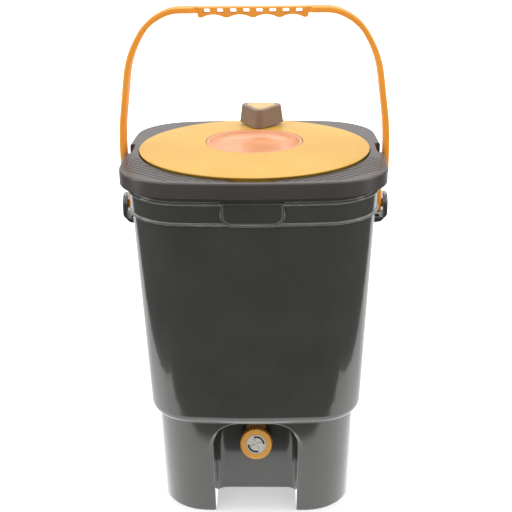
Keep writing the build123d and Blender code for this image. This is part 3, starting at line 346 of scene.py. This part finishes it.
def make_pull():
    """Block with two round lower corners and a recessed front, cut off under the lid."""
    spare = 2.0 * PULL_BEAD
    bpy.ops.object.select_all(action="DESELECT")
    bpy.ops.mesh.primitive_cube_add(size=1.0, location=(
        0.0, PULL_FRONT + PULL_DEPTH / 2.0, (PULL_LOW + PULL_HIGH + spare) / 2.0))
    pull = bpy.context.object
    pull.name = "front_pull"
    pull.scale = (2.0 * PULL_HALF_WIDTH, PULL_DEPTH, PULL_HIGH + spare - PULL_LOW)
    bpy.ops.object.transform_apply(location=True, rotation=True, scale=True)
    mesh = pull.data

    def lower_corner(edge):
        """Whether an edge runs from front to back at the foot of the block."""
        first, last = (mesh.vertices[index].co for index in edge.vertices)
        at_foot = max(first.z, last.z) < PULL_LOW + SAME_PLACE
        return at_foot and first.x * last.x > 0.0 and abs(first.y - last.y) > SAME_PLACE

    bpy.ops.object.mode_set(mode="EDIT")
    select_where(mesh, "EDGE", lower_corner)
    bpy.ops.mesh.bevel(offset=PULL_CORNER, segments=PULL_CORNER_SEGMENTS, affect="EDGES")
    select_where(mesh, "FACE", lambda face: face.normal.y < FRONT_FACING)
    bpy.ops.mesh.inset(thickness=PULL_BEAD)
    bpy.ops.mesh.extrude_region_move(TRANSFORM_OT_translate={"value": (0.0, PULL_RECESS, 0.0)})
    bpy.ops.mesh.select_all(action="SELECT")
    bpy.ops.mesh.bisect(plane_co=(0.0, 0.0, PULL_HIGH), plane_no=(0.0, 0.0, 1.0), use_fill=True,
                        clear_outer=True)
    bpy.ops.object.mode_set(mode="OBJECT")
    rounded = pull.modifiers.new("rounded_bead", "BEVEL")
    rounded.width = PULL_EDGE
    rounded.segments = PULL_EDGE_SEGMENTS
    bpy.ops.object.modifier_apply(modifier=rounded.name)
    bpy.ops.object.shade_smooth_by_angle(angle=math.radians(PULL_SMOOTH_DEGREES))
    mesh.materials.append(bead_pp)
    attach(pull, "body")


make_pull()


# Floor and light. The camera sees white all round. Mirrored rays see a staged room in its place,
# partly brighter than that white and partly dark, which gives the plastics their reflections.
DARK_ROOM = 0.1
TABLE_WHITE = 1.5
BACKDROP_WHITE = 0.9
OVERHEAD_WHITE = 1.4
# Where the mirrored table ends: how far to the sides, how far in front, and how fast its front
# edge runs back beyond the sides
TABLE_SIDE = 0.5
TABLE_FRONT = -0.28
TABLE_SLANT = 2.0
TABLE_FADE = (-0.1, 0.1)
TABLE_SOFT_EDGE = 0.02
PAPER = "#EBEBEB"
# Distances from the bin between which the camera's glow grows, and its strength at each
GLOW_REACH = (0.16, 0.62)
GLOW_STRENGTH = (0.4, 1.0)
FLOOR_SIZE = 40.0
# Part of a direction that points back, or up, between which the staged room turns bright
ROOM_TURN = (0.2, 0.4)
AMBIENT_STRENGTH = 0.8
CAMERA_WHITE = 1.0
# Name, place, aim, width, height and power in watts
LAMPS = (
    ("overhead_box", (0.0, 0.55, 1.55), (0.0, 0.0, 0.35), 1.3, 1.0, 10.2),
    ("left_box", (-1.15, -0.15, 0.7), (0.0, 0.0, 0.3), 0.35, 1.3, 4.0),
    ("right_box", (1.15, -0.2, 0.7), (0.0, 0.0, 0.3), 0.35, 1.3, 3.5),
)


def rays_that_see(tree):
    """Two factors: 1 for the camera's rays, and 1 for mirrored and transmitted rays."""
    ray = add_node(tree, "ShaderNodeLightPath")
    mirrored = add_math(tree, "MAXIMUM", ray.outputs["Is Glossy Ray"],
                        ray.outputs["Is Transmission Ray"])
    return ray.outputs["Is Camera Ray"], mirrored


def sweep_white(name):
    """White paper that keeps the bin's shadow and goes pure white away from it.

    The camera sees the lit paper plus a glow that grows with the distance from the bin.
    Mirrored rays see a white table that ends in front of the bin and beside it, then the dark.
    """
    finish, tree = new_finish(name)
    tree.nodes.clear()
    camera_ray, mirrored_ray = rays_that_see(tree)
    place = add_node(tree, "ShaderNodeTexCoord")
    paper = add_node(tree, "ShaderNodeBsdfDiffuse", {"Color": linear(PAPER)})
    far = add_node(tree, "ShaderNodeVectorMath", {"operation": "LENGTH"})
    tree.links.new(place.outputs["Object"], far.inputs[0])
    glow = add_node(tree, "ShaderNodeEmission", {"Color": linear(WHITE)},
                    {"Strength": map_range(tree, far.outputs["Value"], GLOW_REACH,
                                           GLOW_STRENGTH)})
    lit = add_node(tree, "ShaderNodeAddShader")
    tree.links.new(paper.outputs[0], lit.inputs[0])
    tree.links.new(glow.outputs[0], lit.inputs[1])
    seen = blend_shaders(tree, camera_ray, paper.outputs[0], lit.outputs[0])
    across = add_node(tree, "ShaderNodeSeparateXYZ", {}, {"Vector": place.outputs["Object"]})
    sideways = add_math(tree, "ABSOLUTE", across.outputs["X"])
    beside = add_math(tree, "SUBTRACT", sideways, TABLE_SIDE)
    edge = add_math(tree, "MAXIMUM", add_math(tree, "MULTIPLY", beside, TABLE_SLANT), TABLE_FRONT)
    white = map_range(tree, across.outputs["Y"], TABLE_FADE, (TABLE_WHITE, BACKDROP_WHITE))
    table = add_node(tree, "ShaderNodeMapRange",
                     {"From Min": 0.0, "From Max": TABLE_SOFT_EDGE, "To Min": DARK_ROOM},
                     {"Value": add_math(tree, "SUBTRACT", across.outputs["Y"], edge),
                      "To Max": white})
    staged = add_node(tree, "ShaderNodeEmission", {"Color": linear(WHITE)},
                      {"Strength": table.outputs["Result"]})
    surface = blend_shaders(tree, mirrored_ray, seen, staged.outputs[0])
    add_node(tree, "ShaderNodeOutputMaterial", {}, {"Surface": surface})
    return finish


def soft_box(name, place, aim, width, height, power):
    """Rectangular area lamp at a place, aimed at a point."""
    lamp = bpy.data.lights.new(name, "AREA")
    lamp.shape = "RECTANGLE"
    lamp.size = width
    lamp.size_y = height
    lamp.energy = power
    holder = bpy.data.objects.new(name, lamp)
    scene.collection.objects.link(holder)
    holder.location = place
    holder.rotation_euler = (Vector(aim) - Vector(place)).to_track_quat("-Z", "Y").to_euler()


def white_room():
    """World: white to the camera, and pale light around.

    Mirrored rays see it bright behind the bin and above it, and dark in front and beside it.
    """
    world = bpy.data.worlds.new("white_room")
    scene.world = world
    world.use_nodes = True
    tree = world.node_tree
    tree.nodes.clear()
    camera_ray, mirrored_ray = rays_that_see(tree)
    place = add_node(tree, "ShaderNodeTexCoord")
    toward = add_node(tree, "ShaderNodeSeparateXYZ", {}, {"Vector": place.outputs["Object"]})
    back = map_range(tree, toward.outputs["Y"], ROOM_TURN, (DARK_ROOM, BACKDROP_WHITE))
    above = map_range(tree, toward.outputs["Z"], ROOM_TURN, (DARK_ROOM, OVERHEAD_WHITE))
    ambient = add_node(tree, "ShaderNodeBackground",
                       {"Color": linear(WHITE), "Strength": AMBIENT_STRENGTH})
    room = add_node(tree, "ShaderNodeBackground", {"Color": linear(WHITE)},
                    {"Strength": add_math(tree, "MAXIMUM", back, above)})
    seen = add_node(tree, "ShaderNodeBackground",
                    {"Color": linear(WHITE), "Strength": CAMERA_WHITE})
    around = blend_shaders(tree, mirrored_ray, ambient.outputs[0], room.outputs[0])
    surface = blend_shaders(tree, camera_ray, around, seen.outputs[0])
    add_node(tree, "ShaderNodeOutputWorld", {}, {"Surface": surface})


def make_stage():
    """Floor, world and lamps: one large box above and behind the bin, two slim ones beside it."""
    bpy.ops.object.select_all(action="DESELECT")
    bpy.ops.mesh.primitive_plane_add(size=FLOOR_SIZE, location=(0.0, 0.0, 0.0))
    floor = bpy.context.object
    floor.name = "floor"
    floor.data.materials.append(sweep_white("white_paper_sweep"))
    for lamp in LAMPS:
        soft_box(*lamp)
    white_room()


place_camera()
make_stage()

bpy.context.view_layer.update()
